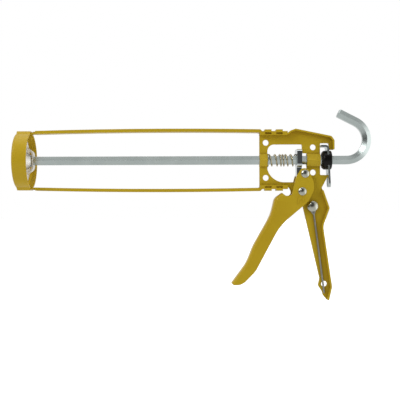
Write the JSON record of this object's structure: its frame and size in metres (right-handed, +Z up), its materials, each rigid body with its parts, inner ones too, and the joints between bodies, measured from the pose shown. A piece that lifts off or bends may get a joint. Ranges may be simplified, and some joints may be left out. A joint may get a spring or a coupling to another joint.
{
  "type": "caulking gun",
  "caption": "Skeleton caulking gun for sealant cartridges: hex push rod with hook, squeeze trigger with gripping plates, release lever and folding puncture needle.",
  "frame": {"origin": "on the rod's axis, at the front edge of the body plates, where a cartridge's base rests", "axes": "+X along the rod towards the hook (rearwards), +Z up, the handle hanging along -Z, -Y the side with the puncture needle"},
  "size_m": [0.3362, 0.0534, 0.1805],
  "materials": {
    "yellow_paint": "semi-gloss enamel on pressed steel sheet",
    "zinc_steel": "bright zinc plate",
    "rivet_steel": "bright zinc plate, domed heads",
    "spring_wire": "zinc-plated spring wire",
    "needle_wire": "drawn steel wire",
    "black_rubber": "smooth black rubber"
  },
  "bodies": {
    "frame": {"body_plate_left": "yellow_paint", "body_plate_right": "yellow_paint", "front_ring": "yellow_paint", "upper_rail": "yellow_paint", "lower_rail": "yellow_paint", "pivot_rivet": "rivet_steel", "pivot_bush": "zinc_steel", "needle_rivet": "rivet_steel", "spring_seat": "zinc_steel", "drive_spring": "spring_wire"},
    "trigger": {"trigger_shell": "yellow_paint", "drive_pin": "rivet_steel", "drive_roller": "zinc_steel"},
    "thrust": {"thrust_plate_front": "zinc_steel", "thrust_plate_rear": "zinc_steel"},
    "rod": {"hex_rod": "zinc_steel", "pusher_disc": "zinc_steel", "pusher_bridge": "zinc_steel", "pusher_washer": "zinc_steel"},
    "lever": {"release_lever": "zinc_steel", "lever_bush": "black_rubber"},
    "needle": {"puncture_needle": "needle_wire"}
  },
  "joints": [
    {"name": "trigger_squeeze", "type": "hinge", "parent": "frame", "child": "trigger", "pos_m": [0.0399, 0, -0.0297], "axis": [0, -1, 0], "range_deg": [0, 35], "stiffness_Nm_per_rad": 0.42, "springref_deg": -28.65, "deforming": ["drive_spring"]},
    {"name": "drive_slide", "type": "slide", "parent": "frame", "child": "thrust", "axis": [-1, 0, 0], "range_m": [0, 0.0103]},
    {"name": "rod_slide", "type": "slide", "parent": "frame", "child": "rod", "axis": [1, 0, 0], "range_m": [0, 0.205]},
    {"name": "release_press", "type": "hinge", "parent": "frame", "child": "lever", "pos_m": [0.06204, 0, 0.0108], "axis": [0, 1, 0], "range_deg": [0, 3], "stiffness_Nm_per_rad": 0.3, "springref_deg": -2.86},
    {"name": "needle_swing", "type": "hinge", "parent": "frame", "child": "needle", "pos_m": [0.05, -0.0027, -0.0438], "axis": [0, 1, 0], "range_deg": [0, 16]}
  ],
  "couplings": [
    {"joint": "drive_slide", "follows": "trigger_squeeze", "m_per_rad": 0.0166}
  ]
}
